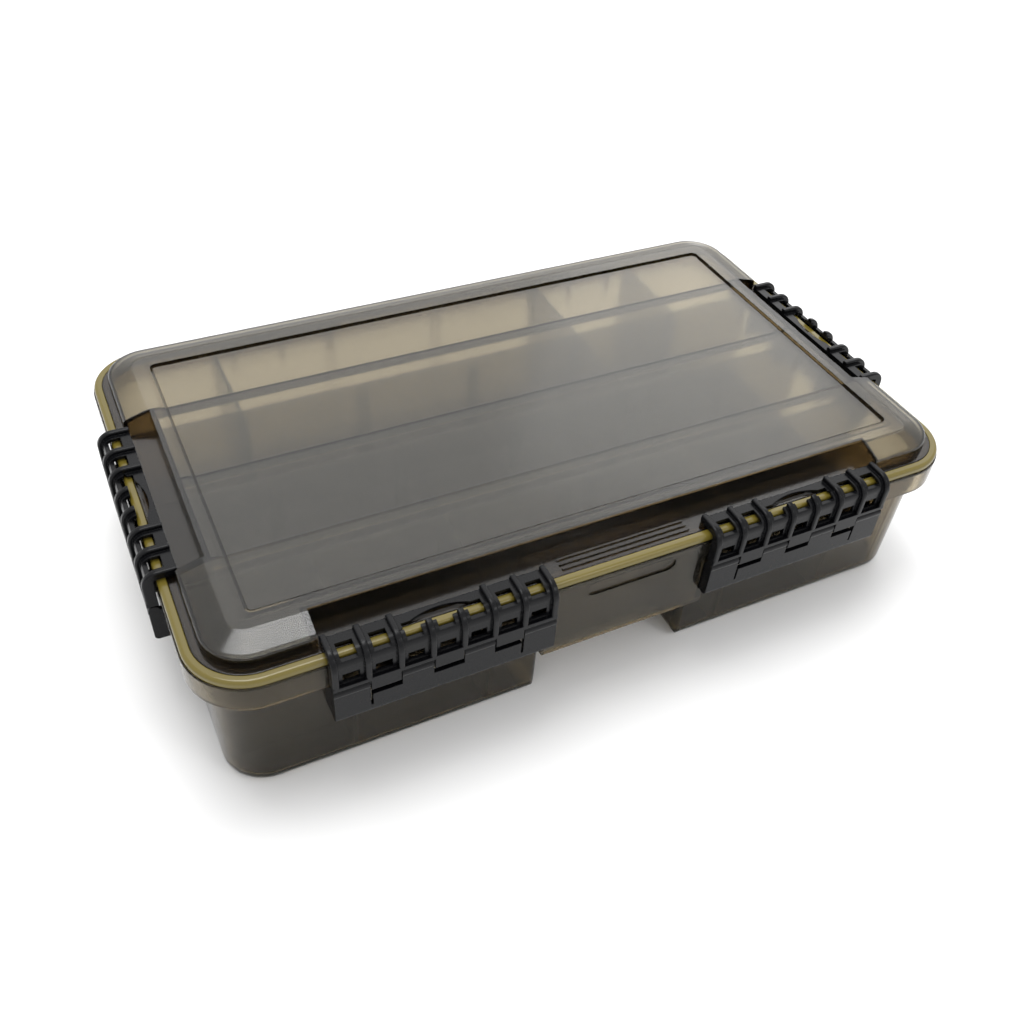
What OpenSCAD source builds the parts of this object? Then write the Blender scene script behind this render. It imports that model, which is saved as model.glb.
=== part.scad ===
// Waterproof tackle box: smoke-tinted tub with a fold-down rim and a hand grip,
// hinged lid with finger recesses, bead seal, four ribbed snap latches on steel
// pins, two rear hinges and lift-out dividers.
// Millimetres, +Z up, front towards -Y, origin on the ground under the middle.
// Profiles are drawn as [w, z], where w runs outward from the rim's outer face.

/* [Case] */
// Length of the rim, left to right
case_l = 344; // [310:1:420]
// Depth of the rim, front to back
case_d = 210; // [190:1:270]
// Outer corner radius of the rim, seen from above
corner_r = 25; // [23:0.5:32]
// Height of the tub, ground to rim
tub_h = 69; // [62:1:100]

/* [Tub walls] */
// Wall thickness of the tub
wall_t = 2.4; // [1.8:0.1:3]
// Floor thickness of the tub
floor_t = 2.4; // [1.8:0.1:3.5]
// Set-in of the tub wall from the rim's outer face
wall_in = 6.4; // [5:0.1:8]
// Draft of the tub wall in degrees
wall_draft = 1; // [0.5:0.1:1.6]
// Radius of the edge round the tub's underside
foot_r = 5; // [3.5:0.1:7]

/* [Rim] */
// Height of the fold-down skirt round the rim
skirt_h = 12; // [10:0.5:14]
// Thickness of the skirt
skirt_t = 2.2; // [1.6:0.1:2.6]
// Thickness of the rim's top
rim_t = 2.4; // [1.8:0.1:3]
// Drop of the second ledge below the skirt
ledge_drop = 3; // [2:0.1:4]
// Step of the second ledge
ledge_step = 0.8; // [0.4:0.1:1.2]

/* [Hand grip] */
// Gap between each end of the grip panel and the latch bracket beside it
grip_gap = 0.4; // [0.3:0.1:1]
// Reach of the panel's lower band past the ends, under the brackets
grip_band = 3; // [2:0.5:6]
// Height of the grip panel
grip_h = 37; // [30:1:42]
// Thickness of the grip panel
grip_t = 2.4; // [2:0.1:3]
// Radius of the panel's lower corners
grip_r = 1; // [0.5:0.5:3]
// Width of the finger pocket behind the panel
pocket_w = 69; // [64:1:70]
// Radius of the pocket's lower side edges
pocket_r = 8.5; // [6:0.5:9]
// Radius of the pocket's upright mouth edges below the panel
mouth_r = 4; // [2:0.5:4.5]
// Depth of the finger pocket from the rim's face
pocket_d = 25; // [20:0.5:30]
// Drop of the pocket's roof below the rim
pocket_drop = 7; // [6:0.5:12]
// Length of the shallow slot on the panel
grip_slot_l = 41; // [30:1:46]
// Height of the shallow slot on the panel
grip_slot_h = 7; // [5:0.5:9]
// Depth of the shallow slot on the panel
grip_slot_depth = 0.8; // [0.4:0.1:1.2]
// Drop of the slot's middle line below the rim
grip_slot_drop = 6; // [5:0.5:9]

/* [Lid] */
// Height of the lid above the rim
lid_h = 11; // [10:0.5:14]
// Thickness of the lid
lid_t = 2.2; // [1.6:0.1:2.6]
// Height of the lid's flange above the rim
flange_h = 3; // [2.6:0.1:3.4]
// Set-in of the lid wall from the rim's outer face
lid_wall_in = 7.2; // [6.8:0.1:8]
// Height of the lid wall above the flange
lid_wall_h = 5; // [4:0.1:6]
// Set-in of the lid's flat top
top_in = 18; // [15:0.5:19]
// Set-in of the sunk panel in the lid's top
panel_in = 25.5; // [24:0.5:34]
// Depth of the sunk panel
panel_depth = 1; // [0.5:0.1:1.4]
// Corner radius of the sunk panel
panel_r = 3; // [2:0.5:8]
// Width of the groove round the sunk panel
groove_w = 1.2; // [0.8:0.1:1.6]
// Depth of the groove below the sunk panel
groove_depth = 0.7; // [0.4:0.1:1]
// Set-in of the finger recesses behind the latches
recess_in = 19; // [17:0.5:20]
// Length of the rib lines on the flange between the front latches
flange_rib_l = 58; // [40:1:66]
// Height of the ribs under the lid that face the lengthwise dividers
lid_rib_h = 4; // [3:0.5:6]

/* [Seal] */
// Width of the seal's visible bead
bead_w = 3.6; // [3:0.1:4]
// Set-back of the bead from the rim's face
bead_in = 0.6; // [0.3:0.1:1]
// Gap under the seal when the lid is shut
seal_gap = 0.2; // [0.1:0.05:0.4]
// Thickness of the web that joins the bead to the sealing cord
seal_web = 0.7; // [0.5:0.05:0.9]
// Width of the sealing cord in the lid's groove
cord_w = 1.8; // [1.4:0.1:2]
// Height of the sealing cord above the web
cord_h = 1; // [0.7:0.1:1.3]

/* [Latches] */
// Length of one latch
latch_l = 90; // [80:1:96]
// Clear span between the two front latches
latch_span = 72; // [70:1:90]
// How far the latch ribs stand out from the rim's face
latch_out = 5; // [4.8:0.1:6]
// Thickness of the lip along the hook's inner edge
lip_t = 1.3; // [1:0.1:1.5]
// Height of the sill along the hook's lower edge
sill_h = 1.6; // [1:0.1:2]
// Thickness of the bracket's fork legs
fork_t = 1.6; // [1.2:0.1:2]
// Thickness of the tub's blades in the forks
blade_t = 2; // [1.6:0.1:2.4]
// Reach of the hook over the lid's flange
hook_reach = 8.8; // [8.4:0.1:9.6]
// Thickness of the hook plate
hook_t = 1.4; // [1.2:0.1:1.6]
// Height of the ribs above the hook plate
rib_h = 1.8; // [1.2:0.1:2]
// Width of one rib
rib_w = 2.6; // [2:0.1:3.2]
// Radius of a rib's long edges
rib_edge = 0.8; // [0.3:0.1:0.9]
// Clearance of the hook plate above the flange
hook_clear = 0.8; // [0.75:0.05:1]
// Height of the keeper ridge on the flange
keeper_h = 0.5; // [0.4:0.05:0.5]
// Length of a window in the hook, along the latch
window_l = 6.4; // [5:0.1:7.6]
// Distance of the top windows from the hook's inner edge
window_in = 4.2; // [3.6:0.1:4.4]
// Width of a window in the hook's top
window_w = 7; // [6:0.1:7.2]
// Height of a window in the hook's front
window_h = 4.4; // [3:0.1:4.6]
// Depth of the curved thumb scoop in the hook's top
scoop_d = 6; // [4:0.1:6.2]
// Width of the rail left behind the scoop
scoop_rail = 1.6; // [1.4:0.1:2]
// Drop of the latch pin below the rim
pin_drop = 12.5; // [12:0.1:14]
// Radius of the latch knuckles
latch_knuckle_r = 2.3; // [2:0.05:2.3]
// Radius of the latch pin
pin_r = 1; // [0.8:0.05:1.2]
// Drop of the bracket's lower edge below the rim
bracket_drop = 28; // [25:0.5:32]
// Thickness of the bracket
bracket_t = 2; // [1.6:0.1:2.2]
// Radius of the bracket's lower front edge
bracket_edge = 1.9; // [0.6:0.1:1.9]
// Room left in the bracket below the hook's tabs
tab_gap = 1.5; // [0.5:0.1:2]
// Wall left over each end of the latch pin
pin_cap = 0.8; // [0.5:0.1:1]
// Width of the narrow slots in the bracket's front
relief_w = 1; // [0.6:0.1:1.4]
// Length of the narrow slots in the bracket's front
relief_l = 6; // [4:0.5:7]

/* [Rear hinges] */
// Distance of a hinge's middle from the middle of the box
hinge_x = 81; // [60:1:100]
// Number of knuckles on one hinge, counting both leaves
knuckles = 5; // [3:2:7]
// Length of one knuckle
knuckle_l = 11.6; // [8:0.1:14]
// Radius of the knuckles
knuckle_r = 2.3; // [2:0.05:2.35]
// Length of the gussets under the tub's hinge knuckles
gusset_h = 10; // [6:0.5:14]
// Distance of the hinge axis behind the rim's face
hinge_out = 2.7; // [2.65:0.05:3]
// Drop of the hinge axis below the rim
hinge_drop = 7; // [6.5:0.1:8]
// Radius of the hinge pin
hinge_pin_r = 1; // [0.8:0.05:1.2]

/* [Dividers] */
// Thickness of a divider
divider_t = 1.6; // [1.2:0.1:2]
// Gap between the divider tops and the rim
divider_drop = 3; // [2:0.5:8]
// Number of rows, front to back
rows = 4; // [4:1:4]
// Distance between neighbouring divider slots along a row
slot_pitch = 57.4; // [52:0.1:62]
// Width and depth of a slot rib
slot_rib = 1.2; // [0.8:0.1:1.6]

/* [Clearances] */
// Radial clearance of a pin in its bore
pin_clear = 0.05; // [0.03:0.01:0.08]
// Gap between neighbouring knuckles
knuckle_gap = 0.5; // [0.4:0.05:0.8]
// Gap between pieces that only sit against each other
seat_gap = 0.1; // [0.05:0.05:0.2]
// Gap between a divider and the walls beside it
divider_gap = 0.3; // [0.2:0.05:0.5]
// Gap between moving pieces
swing_gap = 0.5; // [0.4:0.05:0.8]

/* [Hidden] */
$fn = 48;

// Overlap that makes cuts clean and fused features join
eps = 0.5;
half_l = case_l / 2;
half_d = case_d / 2;
// Inner end of the swept wall profiles, just short of the corner's centre
sweep_in = corner_r - 1;

// Heights of the tub
skirt_z = tub_h - skirt_h;
ledge_z = skirt_z - ledge_drop;
pocket_z = tub_h - pocket_drop;

// Heights of the seal and the lid
seal_z = tub_h + seal_gap;
web_z = seal_z + seal_web;
flange_z = tub_h + flange_h;
lid_wall_z = flange_z + lid_wall_h;
lid_top = tub_h + lid_h;
lid_low = tub_h + seal_gap + seat_gap;
bead_end = bead_in + bead_w;
cord_in = bead_end + 1;
groove_end = cord_in + cord_w;

// Hook arch: one centre for the inside, the plate and the ribs
arch_z = tub_h + 0.4;
arch_r_in = flange_z + hook_clear - arch_z;
arch_r_plate = arch_r_in + hook_t;
arch_r_rib = arch_r_plate + rib_h;
arch_w = latch_out - arch_r_rib;
pin_z = tub_h - pin_drop;
pin_w = latch_out - latch_knuckle_r;
sill_z = pin_z + latch_knuckle_r + swing_gap;
latch_cells = 7;
cell = (latch_l - rib_w) / latch_cells;
tab_w = cell - 1;
bracket_out = latch_out - 0.2;
bracket_low = tub_h - bracket_drop;
// Depth below the pin that the swinging tabs need
tab_sweep = latch_knuckle_r * sqrt(2) + swing_gap;
scoop_half = 1.5 * cell - rib_w / 2;
notch_z = pin_z - tab_sweep - tab_gap;
latch_x = (latch_span + latch_l) / 2;
fork_x = 1.5 * cell;

// Recess lengths follow the latches that they give room to
recess_gap = 0.5;
front_recess_l = latch_span + 2 * latch_l + 2 * recess_gap;
side_recess_l = latch_l + 4;

// Rear hinge
hinge_z = tub_h - hinge_drop;
knuckle_pitch = knuckle_l + knuckle_gap;
hinge_l = knuckles * knuckle_pitch - knuckle_gap;

// Inside of the tub and its grid of dividers
divider_top = tub_h - divider_drop;
row_pitch = 2 * inner_y(ledge_z) / rows;
slot_low = floor_t + foot_r;
slot_high = divider_top - 4;
lid_rib_low = lid_top - lid_t - panel_depth - lid_rib_h;
// Row, counted from the front, and slot, counted from the middle
CROSS = [[0, -2], [0, -1], [0, 1], [0, 2], [1, 2], [2, 1], [3, -2], [3, 1], [3, 2]];

SMOKE = "#6f6a5e";
SMOKE_LID = "#7b776c";
KHAKI = "#8f8452";
BLACK = "#24262a";
STEEL = "#a8a9ab";
FROST = "#8b8577";

// Set-in of the tub wall's outer face at height z
function wall_w(z) = -wall_in - (ledge_z - z) * tan(wall_draft);
// Set-in of the tub wall's inner face at height z
function inner_w(z) = wall_w(z) - wall_t / cos(wall_draft);
// Half length and half depth of the tub's inside at height z
function inner_x(z) = half_l + inner_w(z);
function inner_y(z) = half_d + inner_w(z);
// Ranges: either side of a middle, and onward from a start
function around(mid, half) = [mid - half, mid + half];
function onward(start, length) = [start, start + length];
// Middle of a long divider or a row along Y
function divider_y(i) = (i - rows / 2) * row_pitch;
// Middle of a latch cell along the latch
function cell_x(i) = (i - (latch_cells - 1) / 2) * cell;

function unit(v) = v / norm(v);
function spot(p) = [p[0], p[1]];
function corner_turn(a, v, b) = cross(v - a, b - v);
function corner_half(a, v, b) = acos(max(-1, min(1, unit(a - v) * unit(b - v)))) / 2;
function corner_start(a, v, b, r) = v + unit(a - v) * r / tan(corner_half(a, v, b));
function corner_end(a, v, b, r) = v + unit(b - v) * r / tan(corner_half(a, v, b));
function corner_mid(a, v, b, r) = v + unit(unit(a - v) + unit(b - v)) * r / sin(corner_half(a, v, b));

// Outline through [x, y, radius] points, anticlockwise, each corner a true arc
module outline(points) {
    n = len(points);
    corners = [for (i = [0 : n - 1]) [
        spot(points[(i + n - 1) % n]), spot(points[i]), spot(points[(i + 1) % n]), points[i][2]]];
    chords = [for (c = corners) each c[3] > 0
        ? [corner_start(c[0], c[1], c[2], c[3]), corner_end(c[0], c[1], c[2], c[3])] : [c[1]]];
    difference() {
        union() {
            polygon(chords);
            for (c = corners) if (c[3] > 0 && corner_turn(c[0], c[1], c[2]) > 0) corner_sector(c);
        }
        for (c = corners) if (c[3] > 0 && corner_turn(c[0], c[1], c[2]) < 0) corner_sector(c);
    }
}

// Piece of a corner between its chord and its arc
module corner_sector(c) {
    intersection() {
        translate(corner_mid(c[0], c[1], c[2], c[3])) circle(c[3]);
        polygon([corner_start(c[0], c[1], c[2], c[3]), c[1], corner_end(c[0], c[1], c[2], c[3])]);
    }
}

// Profile swept round the rim's rounded rectangle
module round_rim() {
    for (k = [0 : 3]) {
        a = k % 2 == 0 ? half_l : half_d;
        b = k % 2 == 0 ? half_d : half_l;
        rotate(90 * k) {
            translate([a, b - corner_r, 0]) rotate([90, 0, 0])
                linear_extrude(2 * (b - corner_r)) children();
            translate([a - corner_r, b - corner_r, 0])
                rotate_extrude(angle = 90) translate([corner_r, 0]) children();
        }
    }
}

// Places children on a side: y = 0 is the rim's face there, outward is -Y
module on_front() { translate([0, -half_d, 0]) children(); }
module on_back() { rotate(180) translate([0, -half_d, 0]) children(); }
module on_right() { rotate(90) translate([0, -half_l, 0]) children(); }
module on_left() { rotate(-90) translate([0, -half_l, 0]) children(); }
module on_latch(place) {
    if (place == "front_left") on_front() translate([-latch_x, 0, 0]) children();
    if (place == "front_right") on_front() translate([latch_x, 0, 0]) children();
    if (place == "side_left") on_left() children();
    if (place == "side_right") on_right() children();
}
module on_each_latch() {
    for (place = ["front_left", "front_right", "side_left", "side_right"]) on_latch(place) children();
}
module on_each_hinge() {
    on_back() for (side = [-1, 1]) translate([side * hinge_x, 0, 0]) children();
}

// Profile extruded along X, its middle at x
module along_x(l, x = 0) {
    translate([x, 0, 0]) rotate([90, 0, -90]) linear_extrude(l, center = true) children();
}
// Box from ranges of x, w and z on a side
module side_box(x, w, z) {
    translate([x[0], -w[1], z[0]]) cube([x[1] - x[0], w[1] - w[0], z[1] - z[0]]);
}
// Rod along X on an axis given as w and z
module rod(l, r, w, z) {
    translate([0, -w, z]) rotate([0, 90, 0]) cylinder(h = l, r = r, center = true);
}

// Outer line of the tub's section, from its underside to its rim
module tub_section() {
    outline([
        [-sweep_in, 0, 0],
        [wall_w(0), 0, foot_r],
        [wall_w(ledge_z - ledge_step), ledge_z - ledge_step, 0],
        [-wall_in + ledge_step, ledge_z, 0],
        [-wall_in + ledge_step, tub_h - rim_t, 0],
        [-skirt_t, tub_h - rim_t, 0],
        [-skirt_t, skirt_z, 0],
        [0, skirt_z, 0.8],
        [0, tub_h, 0.6],
        [inner_w(tub_h), tub_h, 0.6],
        [inner_w(floor_t), floor_t, foot_r - wall_t],
        [-sweep_in, floor_t, 0]
    ]);
}

// Wall round the finger pocket, before the pocket is cut
module pocket_section() {
    outline([
        [-pocket_d - wall_t, 0, 0],
        [wall_w(0), 0, foot_r],
        [wall_w(pocket_z + wall_t) - eps, pocket_z + wall_t, 0],
        [-pocket_d - wall_t, pocket_z + wall_t, 0]
    ]);
}

// Finger pocket, with its lower side edges and its upright mouth edges rounded
module pocket_room() {
    panel_low = tub_h - grip_h;
    side_box([-pocket_w / 2, pocket_w / 2], [-pocket_d, -grip_t], [-eps, pocket_z]);
    for (side = [0, 1]) mirror([side, 0, 0]) {
        translate([pocket_w / 2, pocket_d, 0]) rotate([90, 0, 0])
            linear_extrude(pocket_d - grip_t) edge_cutter(pocket_r);
        intersection() {
            translate([pocket_w / 2, -wall_w(0), 0]) rotate([wall_draft, 0, 0])
                translate([0, 0, -mouth_r]) linear_extrude(panel_low + 2 * mouth_r) edge_cutter(mouth_r);
            side_box(onward(0, pocket_w), onward(-pocket_d, pocket_d), [-mouth_r, panel_low]);
        }
    }
}
// Corner that is cut away to round an edge at the origin
module edge_cutter(r) {
    past = 1.5;
    bite = 0.1;
    difference() {
        translate([-past, -past]) square(r + past);
        translate([r, r]) circle(r + bite);
    }
}
// Gussets inside the tub that keep the wall whole behind the pocket's rounded edges
module pocket_gussets() {
    leg = 0.4 * pocket_r;
    for (side = [0, 1]) mirror([side, 0, 0])
        translate([pocket_w / 2 + wall_t - eps, pocket_d + wall_t, floor_t - eps]) rotate([90, 0, 0])
            linear_extrude(pocket_d + wall_w(0)) polygon([[0, 0], [leg, 0], [0, leg]]);
}

// Panel that hangs from the rim in front of the pocket
module grip_panel() {
    low = tub_h - grip_h;
    band_top = bracket_low - grip_gap;
    half = latch_span / 2 - grip_gap;
    band_half = half + grip_band;
    translate([0, grip_t, 0]) rotate([90, 0, 0]) linear_extrude(grip_t) outline([
        [-band_half, low, grip_r],
        [band_half, low, grip_r],
        [band_half, band_top, 0],
        [half, band_top, 0],
        [half, tub_h - eps, 0],
        [-half, tub_h - eps, 0],
        [-half, band_top, 0],
        [-band_half, band_top, 0]
    ]);
    // Webs from the band's ends back to the tub's wall
    for (side = [-1, 1])
        side_box(around(side * (band_half - grip_t / 2), grip_t / 2), [wall_w(low) - wall_t / 2, -grip_t / 2],
                 [low + grip_r, band_top]);
}
module grip_slot() {
    reach = (grip_slot_l - grip_slot_h) / 2;
    translate([0, grip_slot_depth, tub_h - grip_slot_drop]) rotate([90, 0, 0])
        linear_extrude(grip_slot_depth + eps) {
            square([2 * reach, grip_slot_h], center = true);
            for (side = [-1, 1]) translate([side * reach, 0]) circle(grip_slot_h / 2);
        }
}

// Two upright ribs that hold a divider's edge; y = 0 is the wall, inward is +Y
module slot_pair() {
    for (side = [-1, 1])
        translate([side * (divider_t / 2 + divider_gap + slot_rib / 2), slot_rib / 2 - eps / 2,
                   (slot_low + slot_high) / 2])
            cube([slot_rib, slot_rib + eps, slot_high - slot_low], center = true);
}

// Blades under the rim that the brackets' forks grip
module latch_blades() {
    for (side = [-1, 1])
        side_box(around(side * fork_x, blade_t / 2), [wall_w(bracket_low) - eps, 0],
                 [bracket_low + 3, ledge_z - 2]);
}

// Knuckles of the tub's half of a hinge, on their web
module hinge_leaf_tub() {
    for (i = [0 : 2 : knuckles - 1])
        along_x(knuckle_l, (i - (knuckles - 1) / 2) * knuckle_pitch) {
            translate([hinge_out, hinge_z]) circle(knuckle_r);
            translate([-eps, hinge_z - knuckle_r]) square([hinge_out + eps, 2 * knuckle_r]);
        }
    for (i = [0 : 2 : knuckles - 1])
        along_x(divider_t, (i - (knuckles - 1) / 2) * knuckle_pitch)
            polygon([[wall_w(ledge_z) - eps, skirt_z - gusset_h], [-skirt_t, skirt_z + 1],
                     [-skirt_t, skirt_z + 4], [wall_w(ledge_z) - eps, skirt_z + 4]]);
}

module base_tub() {
    color(SMOKE) difference() {
        union() {
            round_rim() tub_section();
            translate([0, 0, floor_t / 2])
                cube([case_l - 2 * sweep_in, case_d - 2 * sweep_in, floor_t], center = true);
            on_front() along_x(pocket_w + 2 * wall_t) pocket_section();
            on_front() grip_panel();
            on_front() pocket_gussets();
            on_each_latch() latch_blades();
            on_each_hinge() hinge_leaf_tub();
            for (k = [-2 : 2]) {
                translate([k * slot_pitch, inner_y(ledge_z), 0]) rotate(180) slot_pair();
                if (k != 0) translate([k * slot_pitch, -inner_y(ledge_z), 0]) slot_pair();
            }
            for (i = [1 : rows - 1], side = [-1, 1])
                translate([side * inner_x(ledge_z), divider_y(i), 0]) rotate(90 * side) slot_pair();
        }
        on_front() pocket_room();
        on_front() grip_slot();
        on_each_hinge() rod(hinge_l + 2 * eps, hinge_pin_r + pin_clear, hinge_out, hinge_z);
    }
}

// Section of the lid, from the inside of its top to the flange and back
module lid_section() {
    outline([
        [-sweep_in, lid_top - lid_t, 0],
        [-top_in, lid_top - lid_t, 0],
        [-lid_wall_in - lid_t, lid_wall_z - lid_t, 0],
        [-lid_wall_in - lid_t, lid_low, 0],
        [-groove_end, lid_low, 0],
        [-groove_end, web_z + cord_h, 0],
        [-cord_in, web_z + cord_h, 0],
        [-cord_in, web_z, 0],
        [-bead_end, web_z, 0],
        [-bead_end, flange_z, 0.4],
        [-lid_wall_in, flange_z, 0],
        [-lid_wall_in - 0.3, lid_wall_z, 2],
        [-top_in, lid_top, 1.5],
        [-sweep_in, lid_top, 0]
    ]);
}
// Filled section that a finger recess is cut from
module recess_section() {
    outline([
        [-recess_in - lid_t, lid_low, 0],
        [-lid_wall_in - 1, lid_low, 0],
        [-lid_wall_in - 1, flange_z, 0],
        [-lid_wall_in, flange_z, 0],
        [-lid_wall_in - 0.3, lid_wall_z, 2],
        [-top_in, lid_top, 1.5],
        [-recess_in - lid_t, lid_top, 0]
    ]);
}
module recess_block(l) { along_x(l + 2 * lid_t) recess_section(); }
module recess_room(l) {
    side_box([-l / 2, l / 2], [-recess_in, latch_out], [flange_z, lid_top + eps]);
}

// Ridge on the flange that the hook's lip snaps behind
module keeper() {
    foot = hook_reach - lip_t - 0.3;
    along_x(latch_l) polygon([
        [-foot, flange_z - eps], [-foot + 4 * keeper_h, flange_z - eps],
        [-foot + 4 * keeper_h, flange_z], [-foot + 2 * keeper_h, flange_z + keeper_h], [-foot, flange_z]]);
}
module flange_ribs() {
    for (k = [0 : 2])
        side_box(around(0, flange_rib_l / 2), onward(-lid_wall_in - 2.6 * k, 0.8),
                 [flange_z - eps, flange_z + 0.7]);
}

// Knuckles and arms of the lid's half of a hinge
module hinge_leaf_lid() {
    for (i = [1 : 2 : knuckles - 2])
        along_x(knuckle_l, (i - (knuckles - 1) / 2) * knuckle_pitch) {
            translate([hinge_out, hinge_z]) circle(knuckle_r);
            polygon([
                [hinge_out - knuckle_r, hinge_z], [hinge_out + knuckle_r, hinge_z],
                [hinge_out + knuckle_r - 0.4, flange_z - 4], [-bead_in, flange_z],
                [-bead_end - eps, flange_z], [-bead_end - eps, web_z + seat_gap],
                [hinge_out - knuckle_r, web_z + seat_gap]]);
        }
}

// Outline of the sunk panel, set in further by an inset
module panel_outline(inset) {
    x = half_l - panel_in - inset;
    y = half_d - panel_in - inset;
    r = panel_r - inset;
    outline([[-x, -y, r], [x, -y, r], [x, y, r], [-x, y, r]]);
}

module lid() {
    top_l = case_l - 2 * sweep_in;
    top_d = case_d - 2 * sweep_in;
    color(SMOKE_LID) {
        difference() {
            union() {
                round_rim() lid_section();
                translate([-top_l / 2, -top_d / 2, lid_top - lid_t - panel_depth])
                    cube([top_l, top_d, lid_t + panel_depth]);
                on_front() recess_block(front_recess_l);
                on_left() recess_block(side_recess_l);
                on_right() recess_block(side_recess_l);
                on_each_hinge() hinge_leaf_lid();
                for (i = [1 : rows - 1])
                    translate([0, divider_y(i), (lid_rib_low + lid_top - lid_t) / 2])
                        cube([2 * (half_l - recess_in - lid_t), divider_t, lid_top - lid_t - lid_rib_low],
                             center = true);
            }
            on_front() recess_room(front_recess_l);
            on_left() recess_room(side_recess_l);
            on_right() recess_room(side_recess_l);
            translate([0, 0, lid_top - panel_depth]) linear_extrude(panel_depth + eps) panel_outline(0);
            translate([0, 0, lid_top - panel_depth - groove_depth]) linear_extrude(lid_h) difference() {
                panel_outline(0);
                panel_outline(groove_w);
            }
            on_each_hinge() rod(hinge_l + 2 * eps, hinge_pin_r + pin_clear, hinge_out, hinge_z);
        }
        on_each_latch() keeper();
        on_front() flange_ribs();
    }
}

// Khaki seal: cord in the lid's groove, web under the flange, bead on the edge
module seal_ring() {
    fit = seat_gap / 2;
    color(KHAKI) difference() {
        round_rim() outline([
            [-groove_end + fit, seal_z, 0],
            [-bead_in, seal_z, 0],
            [-bead_in, flange_z, 1.6],
            [-bead_end + fit, flange_z, 0.4],
            [-bead_end + fit, web_z - fit, 0],
            [-cord_in - fit, web_z - fit, 0],
            [-cord_in - fit, web_z + cord_h - fit, 0],
            [-groove_end + fit, web_z + cord_h - fit, 0]
        ]);
        on_each_hinge() for (i = [1 : 2 : knuckles - 2]) {
            x = (i - (knuckles - 1) / 2) * knuckle_pitch;
            side_box(around(x, knuckle_l / 2 + knuckle_gap), [-bead_end - eps, eps],
                     [web_z - fit, flange_z + eps]);
        }
    }
}

// Band of the hook's arch between two radii, down to height low
module arch_band(r_in, r_out, low) {
    translate([-hook_reach, arch_z + r_in]) square([hook_reach + arch_w, r_out - r_in]);
    intersection() {
        translate([arch_w, arch_z]) difference() {
            circle(r_out);
            circle(r_in);
        }
        translate([arch_w, arch_z]) square(r_out + 1);
    }
    translate([arch_w + r_in, low]) square([r_out - r_in, arch_z - low]);
}
// One rib: along the top, round the arch and down the front, its edges rounded
module hook_rib() {
    translate([0, hook_reach, arch_z]) rotate([90, 0, 0])
        linear_extrude(hook_reach + arch_w) rib_section();
    translate([0, -arch_w, arch_z]) rotate([90, 0, -90])
        rotate_extrude(angle = 90) rotate(-90) rib_section();
    translate([0, -arch_w, sill_z]) mirror([0, 1, 0])
        linear_extrude(arch_z - sill_z) rib_section();
}
module rib_section() {
    outline([
        [-rib_w / 2, arch_r_in, 0],
        [rib_w / 2, arch_r_in, 0],
        [rib_w / 2, arch_r_rib, rib_edge],
        [-rib_w / 2, arch_r_rib, rib_edge]
    ]);
}
// Curved scoop for the thumb across the three middle cells, seen from above
module scoop() {
    r = (scoop_half * scoop_half + scoop_d * scoop_d) / (2 * scoop_d);
    far = -hook_reach + scoop_rail;
    translate([0, 0, flange_z]) linear_extrude(lid_h) intersection() {
        translate([0, -far - r]) circle(r, $fn = 96);
        translate([-scoop_half, -far - scoop_d]) square([2 * scoop_half, scoop_d + 1]);
    }
}
// Closes an end of the hook, clear of the rim's face
module hook_end() {
    translate([swing_gap, sill_z]) square([arch_w + arch_r_in + eps - swing_gap, arch_z - sill_z + eps]);
    intersection() {
        translate([arch_w, arch_z]) circle(arch_r_in + eps);
        translate([swing_gap, arch_z]) square(arch_r_in + 1);
    }
}
module latch_hook() {
    color(BLACK) difference() {
        union() {
            along_x(latch_l) arch_band(arch_r_in, arch_r_plate, sill_z);
            for (k = [0 : latch_cells]) translate([(k - latch_cells / 2) * cell, 0, 0]) hook_rib();
            // Lip along the inner edge, behind the keeper
            side_box([-latch_l / 2, latch_l / 2], [-hook_reach, -hook_reach + lip_t],
                     [flange_z + 0.3, arch_z + arch_r_plate]);
            // Sill along the lower edge of the front
            side_box([-latch_l / 2, latch_l / 2], [arch_w + arch_r_in, latch_out], [sill_z, sill_z + sill_h]);
            for (side = [-1, 1]) along_x(fork_t, side * (latch_l - fork_t) / 2) hook_end();
            for (i = [1 : 2 : latch_cells - 2])
                along_x(tab_w, cell_x(i)) {
                    translate([pin_w, pin_z]) circle(latch_knuckle_r);
                    translate([pin_w, pin_z - latch_knuckle_r])
                        square([latch_knuckle_r, sill_z + sill_h - pin_z + latch_knuckle_r]);
                    translate([arch_w + arch_r_in, pin_z])
                        square([latch_out - arch_w - arch_r_in, sill_z + sill_h - pin_z]);
                }
        }
        for (i = [0 : latch_cells - 1])
            side_box(around(cell_x(i), window_l / 2), onward(-hook_reach + window_in, window_w),
                     [flange_z, lid_top + eps]);
        for (i = [0 : latch_cells - 1])
            side_box(around(cell_x(i), window_l / 2), [0, latch_out + eps],
                     onward(sill_z + sill_h + 0.4, window_h));
        scoop();
        // The ribs stop at the scoop, so its rail is plain
        side_box([-scoop_half, scoop_half], [-hook_reach - eps, -hook_reach + scoop_rail + scoop_d],
                 [arch_z + arch_r_plate - eps, lid_top]);
        rod(latch_l, pin_r + pin_clear, pin_w, pin_z);
    }
}

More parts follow.
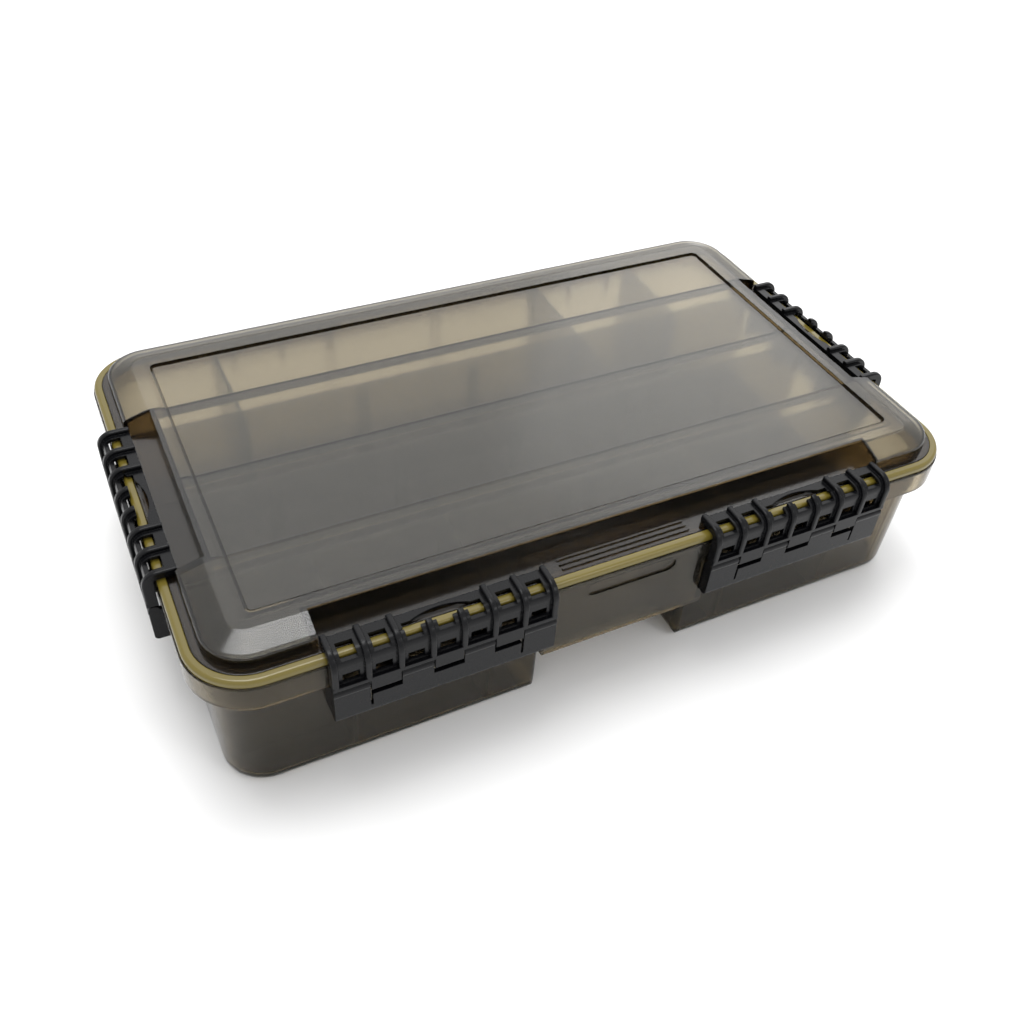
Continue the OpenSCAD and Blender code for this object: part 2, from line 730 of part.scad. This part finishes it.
// Side wall of a bracket: front plate to tub wall, hooked under the skirt
module bracket_cheek(top) {
    back = seat_gap;
    outline([
        [wall_w(bracket_low) + back, bracket_low, 0],
        [bracket_out, bracket_low, bracket_edge],
        [bracket_out, pin_z, 0],
        [pin_w - latch_knuckle_r, pin_z, 0],
        [pin_w - latch_knuckle_r, top, 0],
        [-wall_in + ledge_step + back, top, 0],
        [-wall_in + ledge_step + back, ledge_z, 0],
        [wall_w(ledge_z - ledge_step) + back, ledge_z - ledge_step, 0]
    ]);
}
module latch_bracket() {
    slot = tab_w + 2 * knuckle_gap;
    color(BLACK) difference() {
        union() {
            along_x(latch_l) outline([
                [bracket_out - bracket_t, bracket_low, 0],
                [bracket_out, bracket_low, bracket_edge],
                [bracket_out, pin_z, 0],
                [bracket_out - bracket_t, pin_z, 0]
            ]);
            along_x(latch_l) translate([pin_w, pin_z]) circle(latch_knuckle_r);
            for (side = [-1, 1]) {
                along_x(bracket_t, side * (latch_l - bracket_t) / 2) bracket_cheek(skirt_z - seat_gap);
                for (leg = [-1, 1])
                    along_x(fork_t, side * fork_x + leg * (blade_t / 2 + seat_gap + fork_t / 2)) polygon([
                        [wall_w(bracket_low + 1) + seat_gap, bracket_low + 1],
                        [bracket_out - eps, bracket_low + 1],
                        [bracket_out - eps, notch_z - 1],
                        [wall_w(notch_z - 1) + seat_gap, notch_z - 1]]);
            }
        }
        for (i = [1 : 2 : latch_cells - 2])
            side_box(around(cell_x(i), slot / 2), [-wall_in, latch_out + eps],
                     [notch_z, sill_z + eps]);
        for (side = [-1, 1])
            side_box(around(side * (cell_x(latch_cells - 2) + slot / 2 - relief_w / 2), relief_w / 2),
                     [bracket_out - bracket_t - eps, bracket_out + eps],
                     [notch_z - relief_l, pin_z]);
        rod(latch_l - 2 * pin_cap, pin_r + pin_clear, pin_w, pin_z);
    }
}
module latch_pin() {
    color(STEEL) rod(latch_l - 2 * pin_cap - 0.4, pin_r, pin_w, pin_z);
}
module hinge_pin(side) {
    color(STEEL) on_back() translate([-side * hinge_x, 0, 0]) rod(hinge_l - 1, hinge_pin_r, hinge_out, hinge_z);
}

// Lengthwise divider with slot ribs on both faces
module long_divider(i) {
    low = inner_x(floor_t) - divider_gap;
    high = inner_x(divider_top) - divider_gap;
    r = foot_r - wall_t + divider_gap;
    color(FROST) translate([0, divider_y(i), 0]) {
        translate([0, divider_t / 2, 0]) rotate([90, 0, 0]) linear_extrude(divider_t) outline([
            [-low, floor_t, r], [low, floor_t, r], [high, divider_top, 1], [-high, divider_top, 1]]);
        for (k = [-2 : 2], side = [0, 180])
            rotate(side) translate([k * slot_pitch, divider_t / 2, 0]) slot_pair();
    }
}

// Crosswise divider between two long dividers, or a long divider and the wall
module cross_divider(row, slot) {
    edge = row_pitch / 2 - divider_t / 2 - divider_gap;
    low = inner_y(floor_t) - 1.5 * row_pitch - divider_gap;
    high = inner_y(divider_top) - 1.5 * row_pitch - divider_gap;
    outer = row == 0 || row == rows - 1;
    color(FROST) translate([slot * slot_pitch + divider_t / 2, divider_y(row) + row_pitch / 2, 0])
        mirror([0, row == 0 ? 1 : 0, 0]) rotate([90, 0, -90]) mirror([1, 0, 0])
            linear_extrude(divider_t) outline([
                [-edge, floor_t, 0.8],
                [outer ? low : edge, floor_t, outer ? foot_r - wall_t + divider_gap : 0.8],
                [outer ? high : edge, divider_top, 1],
                [-edge, divider_top, 1]]);
}

base_tub();
lid();
seal_ring();
on_latch("front_left") latch_bracket();  // latch_bracket_front_left
on_latch("front_right") latch_bracket();  // latch_bracket_front_right
on_latch("side_left") latch_bracket();  // latch_bracket_side_left
on_latch("side_right") latch_bracket();  // latch_bracket_side_right
on_latch("front_left") latch_hook();  // latch_hook_front_left
on_latch("front_right") latch_hook();  // latch_hook_front_right
on_latch("side_left") latch_hook();  // latch_hook_side_left
on_latch("side_right") latch_hook();  // latch_hook_side_right
on_latch("front_left") latch_pin();  // latch_pin_front_left
on_latch("front_right") latch_pin();  // latch_pin_front_right
on_latch("side_left") latch_pin();  // latch_pin_side_left
on_latch("side_right") latch_pin();  // latch_pin_side_right
hinge_pin(-1);  // hinge_pin_left
hinge_pin(1);  // hinge_pin_right
long_divider(1);  // long_divider_front
long_divider(2);  // long_divider_middle
long_divider(3);  // long_divider_rear
cross_divider(CROSS[0][0], CROSS[0][1]);  // cross_divider_1
cross_divider(CROSS[1][0], CROSS[1][1]);  // cross_divider_2
cross_divider(CROSS[2][0], CROSS[2][1]);  // cross_divider_3
cross_divider(CROSS[3][0], CROSS[3][1]);  // cross_divider_4
cross_divider(CROSS[4][0], CROSS[4][1]);  // cross_divider_5
cross_divider(CROSS[5][0], CROSS[5][1]);  // cross_divider_6
cross_divider(CROSS[6][0], CROSS[6][1]);  // cross_divider_7
cross_divider(CROSS[7][0], CROSS[7][1]);  // cross_divider_8
cross_divider(CROSS[8][0], CROSS[8][1]);  // cross_divider_9
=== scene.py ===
import bpy
from mathutils import Matrix, Vector


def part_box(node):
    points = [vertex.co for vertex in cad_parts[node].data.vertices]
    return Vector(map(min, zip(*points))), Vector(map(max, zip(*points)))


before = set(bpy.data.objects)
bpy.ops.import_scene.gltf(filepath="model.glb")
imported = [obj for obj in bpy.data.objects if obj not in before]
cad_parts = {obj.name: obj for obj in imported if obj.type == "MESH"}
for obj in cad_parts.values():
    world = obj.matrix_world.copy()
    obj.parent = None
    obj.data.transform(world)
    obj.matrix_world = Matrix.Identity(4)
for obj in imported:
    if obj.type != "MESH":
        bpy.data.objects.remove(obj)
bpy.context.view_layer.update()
MM = 0.001

# Reach of the lid's sunk panel, and heights of its groove, of the ribs under it and of the lid's low parts,
# where shade is painted into the lid's colour
LID_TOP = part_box("lid")[1][2]
PANEL_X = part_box("lid")[1][0] - 20 * MM
PANEL_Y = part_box("seal_ring")[1][1] - 24 * MM
GROOVE = (LID_TOP - 1.75 * MM, LID_TOP - 1.65 * MM)
RIBS = (LID_TOP - 7.3 * MM, LID_TOP - 3.25 * MM)
LOW = (0.0, LID_TOP - 5.5 * MM)
# A face counts as upright, and gets painted shade, where the height of its normal lies between these
UPRIGHT = (-0.5, 0.5)

# Flow marks of the moulding, as slow waves in the smoke plastic's gloss and relief
FLOW_MM = 35
FLOW_RELIEF_MM = 0.05
FLOW_GLOSS = 0.03
# Grit of the opaque pieces varies their gloss by this much
GRIT_GLOSS = 0.06
RELIEF_STRENGTH = 0.3


def srgb(hex_colour, alpha=1.0):
    """Turns an sRGB hex colour into linear RGBA."""
    channels = [int(hex_colour[i:i + 2], 16) / 255 for i in (1, 3, 5)]
    linear = [c / 12.92 if c <= 0.04045 else ((c + 0.055) / 1.055) ** 2.4 for c in channels]
    return (*linear, alpha)


def node(tree, kind, sockets=None, **settings):
    """Adds a shader node with its settings; each socket named or numbered gets a link or a constant."""
    made = tree.nodes.new(kind)
    for key, value in settings.items():
        setattr(made, key, value)
    for socket, value in (sockets or {}).items():
        if isinstance(value, bpy.types.NodeSocket):
            tree.links.new(value, made.inputs[socket])
        else:
            made.inputs[socket].default_value = value
    return made


def new_material(name):
    """Starts an empty node material."""
    material = bpy.data.materials.new(name)
    material.use_nodes = True
    material.node_tree.nodes.clear()
    return material, material.node_tree


def lid_tone_and_painted_shade(tree, face, wall, line):
    """The lid's colour with painted shade: broad faces keep their tone, upright and low parts are painted
    darker as shade, and the ribs and groove are painted dark as shaded lines.
    """
    spot = node(tree, "ShaderNodeTexCoord").outputs
    at = node(tree, "ShaderNodeSeparateXYZ", {"Vector": spot["Object"]}).outputs
    facing = node(tree, "ShaderNodeSeparateXYZ", {"Vector": spot["Normal"]}).outputs
    limits = {"upright": (facing["Z"], *UPRIGHT), "low": (at["Z"], *LOW),
              "along": (at["X"], -PANEL_X, PANEL_X), "across": (at["Y"], -PANEL_Y, PANEL_Y),
              "groove": (at["Z"], *GROOVE), "rib": (at["Z"], *RIBS)}
    mask = {}
    for name, (value, least, most) in limits.items():
        middle = (least + most) / 2
        half = (most - least) / 2
        within = node(tree, "ShaderNodeMath", {0: value, 1: middle, 2: half}, operation="COMPARE")
        mask[name] = within.outputs[0]
    for name, operation, first, second in (("wall", "MAXIMUM", "upright", "low"),
                                           ("panel", "MULTIPLY", "along", "across"),
                                           ("mark", "MAXIMUM", "groove", "rib"),
                                           ("line", "MULTIPLY", "panel", "mark")):
        both = node(tree, "ShaderNodeMath", {0: mask[first], 1: mask[second]}, operation=operation)
        mask[name] = both.outputs[0]
    tone = srgb(face)
    # Painted shade: upright faces and low parts darker, then the groove and ribs as dark shaded lines
    for name, colour in (("wall", wall), ("line", line)):
        tone = node(tree, "ShaderNodeMix", {"Factor": mask[name], 6: tone, 7: srgb(colour)},
                    data_type="RGBA").outputs[2]
    return tone


def smoke_plastic(name, face, tint, depth_per_mm, roughness, haze, index, sheen="#ffffff", wall=None,
                  line=None):
    """Smoke-tinted polypropylene, injection moulded: see-through, darker and browner the thicker it is."""
    material, tree = new_material(name)
    place = node(tree, "ShaderNodeTexCoord").outputs["Object"]
    flow = node(tree, "ShaderNodeTexNoise", {"Vector": place, "Scale": 1 / (FLOW_MM * MM), "Detail": 2.0})
    rough = node(tree, "ShaderNodeMapRange", {"Value": flow.outputs["Fac"], "To Min": roughness - FLOW_GLOSS,
                                              "To Max": roughness + FLOW_GLOSS})
    bump = node(tree, "ShaderNodeBump", {"Height": flow.outputs["Fac"], "Strength": RELIEF_STRENGTH,
                                         "Distance": FLOW_RELIEF_MM * MM})
    # On the lid, painted shade darkens the walls, low parts, ribs and groove
    base = lid_tone_and_painted_shade(tree, face, wall, line) if wall else srgb(face)
    shader = node(tree, "ShaderNodeBsdfPrincipled",
                  {"Base Color": base, "Roughness": rough.outputs["Result"], "Normal": bump.outputs["Normal"],
                   "IOR": index, "Transmission Weight": 1 - haze, "Specular Tint": srgb(sheen)})
    body = node(tree, "ShaderNodeVolumeAbsorption", {"Color": srgb(tint), "Density": depth_per_mm / MM})
    node(tree, "ShaderNodeOutputMaterial",
         {"Surface": shader.outputs["BSDF"], "Volume": body.outputs["Volume"]})
    return material


def opaque_finish(name, dark, light, roughness, grit_mm, depth_mm, edge_mm=0.0, metallic=0.0, specular=0.5):
    """Opaque finish with grit in its colour, gloss and relief; real grit is finer, drawn coarser to show."""
    material, tree = new_material(name)
    place = node(tree, "ShaderNodeTexCoord").outputs["Object"]
    grit = node(tree, "ShaderNodeTexNoise", {"Vector": place, "Scale": 1 / (grit_mm * MM), "Detail": 3.0})
    rough = node(tree, "ShaderNodeMapRange", {"Value": grit.outputs["Fac"], "To Min": roughness - GRIT_GLOSS,
                                              "To Max": roughness + GRIT_GLOSS})
    bump = node(tree, "ShaderNodeBump", {"Height": grit.outputs["Fac"], "Strength": RELIEF_STRENGTH,
                                         "Distance": depth_mm * MM})
    if edge_mm:
        edge = node(tree, "ShaderNodeBevel", {"Radius": edge_mm * MM}, samples=4)
        tree.links.new(edge.outputs["Normal"], bump.inputs["Normal"])
    colour = node(tree, "ShaderNodeMix", {"Factor": grit.outputs["Fac"], 6: srgb(dark), 7: srgb(light)},
                  data_type="RGBA")
    shader = node(tree, "ShaderNodeBsdfPrincipled",
                  {"Base Color": colour.outputs[2], "Roughness": rough.outputs["Result"],
                   "Normal": bump.outputs["Normal"], "Metallic": metallic, "Specular IOR Level": specular})
    node(tree, "ShaderNodeOutputMaterial", {"Surface": shader.outputs["BSDF"]})
    return material


# Polypropylene of the tub: deep smoke, dark brown edge-on; a low index keeps the floor's mirror image faint
smoke_tub = smoke_plastic("smoke_polypropylene_tub", "#e6dccb", "#b7ae8c", depth_per_mm=0.56, roughness=0.14,
                          haze=0.008, index=1.38, sheen="#e8e0cc")
# Polypropylene of the lid: thinner tint under a satin sheen, with shade painted darker on its walls, ledges,
# ribs and groove
smoke_lid = smoke_plastic("smoke_polypropylene_lid", "#f2f1ee", "#bab294", depth_per_mm=0.29, roughness=0.16,
                          haze=0.012, index=1.46, wall="#86765f", line="#5a5650")
# Polypropylene sheet of the dividers: as deep as the tub, twice as dense for its thin sheet
smoke_divider = smoke_plastic("smoke_polypropylene_divider", "#f2f1ee", "#b7ae8c", depth_per_mm=1.12,
                              roughness=0.14, haze=0.008, index=1.46)
# Elastomer of the seal: smooth khaki bead with a moist sheen
khaki_seal = opaque_finish("khaki_elastomer", "#64581f", "#6d6127", roughness=0.22, grit_mm=0.6,
                           depth_mm=0.006)
# Nylon of the latches: near-black moulding, satin, with light caught on softened edges
black_latch = opaque_finish("black_nylon", "#060608", "#0b0c0f", roughness=0.26, grit_mm=0.5, depth_mm=0.015,
                            edge_mm=0.35, specular=0.2)
# Steel wire of the pins: drawn, dull grey
steel_pin = opaque_finish("drawn_steel_wire", "#5f6062", "#737476", roughness=0.42, grit_mm=0.4,
                          depth_mm=0.01, metallic=1.0)

FINISHES = {"base_tub": smoke_tub, "lid": smoke_lid, "seal_ring": khaki_seal, "latch_hook": black_latch,
            "latch_bracket": black_latch, "latch_pin": steel_pin, "hinge_pin": steel_pin,
            "long_divider": smoke_divider, "cross_divider": smoke_divider}
for name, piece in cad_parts.items():
    for start, finish in FINISHES.items():
        if name.startswith(start):
            piece.data.materials.clear()
            piece.data.materials.append(finish)

# Floor: plain pale sheet that keeps the box's soft shadow
bpy.ops.mesh.primitive_plane_add(size=8)
floor = bpy.context.object
floor.name = "studio_floor"
floor_material, tree = new_material("studio_floor_white")
white = node(tree, "ShaderNodeBsdfDiffuse", {"Color": srgb("#fafafa")})
node(tree, "ShaderNodeOutputMaterial", {"Surface": white.outputs["BSDF"]})
floor.data.materials.append(floor_material)

# World: white where it is seen, softer where it lights
LIGHTING_STRENGTH = 0.9
SEEN_STRENGTH = 1.0
world = bpy.data.worlds.new("studio_white")
bpy.context.scene.world = world
world.use_nodes = True
tree = world.node_tree
tree.nodes.clear()
ray = node(tree, "ShaderNodeLightPath").outputs
seen = ray["Is Camera Ray"]
for kind in ("Is Glossy Ray", "Is Transmission Ray"):
    seen = node(tree, "ShaderNodeMath", {0: seen, 1: ray[kind]}, operation="MAXIMUM").outputs[0]
strength = node(tree, "ShaderNodeMapRange",
                {"Value": seen, "To Min": LIGHTING_STRENGTH, "To Max": SEEN_STRENGTH})
sky = node(tree, "ShaderNodeBackground", {"Strength": strength.outputs["Result"], "Color": srgb("#ffffff")})
node(tree, "ShaderNodeOutputWorld", {"Surface": sky.outputs["Background"]})


def soft_lamp(name, place, aim, size, power):
    """Square studio softbox aimed at a point."""
    data = bpy.data.lights.new(name, "AREA")
    data.size = size
    data.energy = power
    lamp = bpy.data.objects.new(name, data)
    lamp.location = place
    lamp.rotation_euler = (Vector(aim) - Vector(place)).to_track_quat("-Z", "Y").to_euler()
    bpy.context.scene.collection.objects.link(lamp)


# Overhead for the bevel's highlight, behind and right for the sheen on the lid, front for the latches' arches
soft_lamp("softbox_overhead", (-0.12, 0.22, 1.5), aim=(0, 0, 0), size=0.7, power=11)
soft_lamp("softbox_behind", (0.55, 1.2, 1.25), aim=(0, 0, 0), size=1.6, power=7)
soft_lamp("softbox_right", (1.35, 1.1, 0.95), aim=(0.1, 0, 0), size=1.2, power=4)
soft_lamp("softbox_front", (0.55, -1.1, 1.05), aim=(0, 0, 0), size=0.35, power=2)

# Camera: fitted to the photograph's outline of the rim and the feet
camera_data = bpy.data.cameras.new("photo_camera")
camera_data.lens = 36.748
camera_data.sensor_width = 36
camera_data.clip_start = 0.01
camera = bpy.data.objects.new("photo_camera", camera_data)
right = Vector((0.897529, -0.436851, 0.060026))
down = Vector((-0.261540, -0.636986, -0.725152))
forward = Vector((0.355020, 0.635146, -0.685967))
turn = Matrix((right, -down, -forward)).transposed()
camera.matrix_world = Matrix.Translation((-0.18381, -0.33161, 0.36367)) @ turn.to_4x4()
bpy.context.scene.collection.objects.link(camera)
bpy.context.scene.camera = camera
bpy.context.scene.view_settings.view_transform = "Standard"
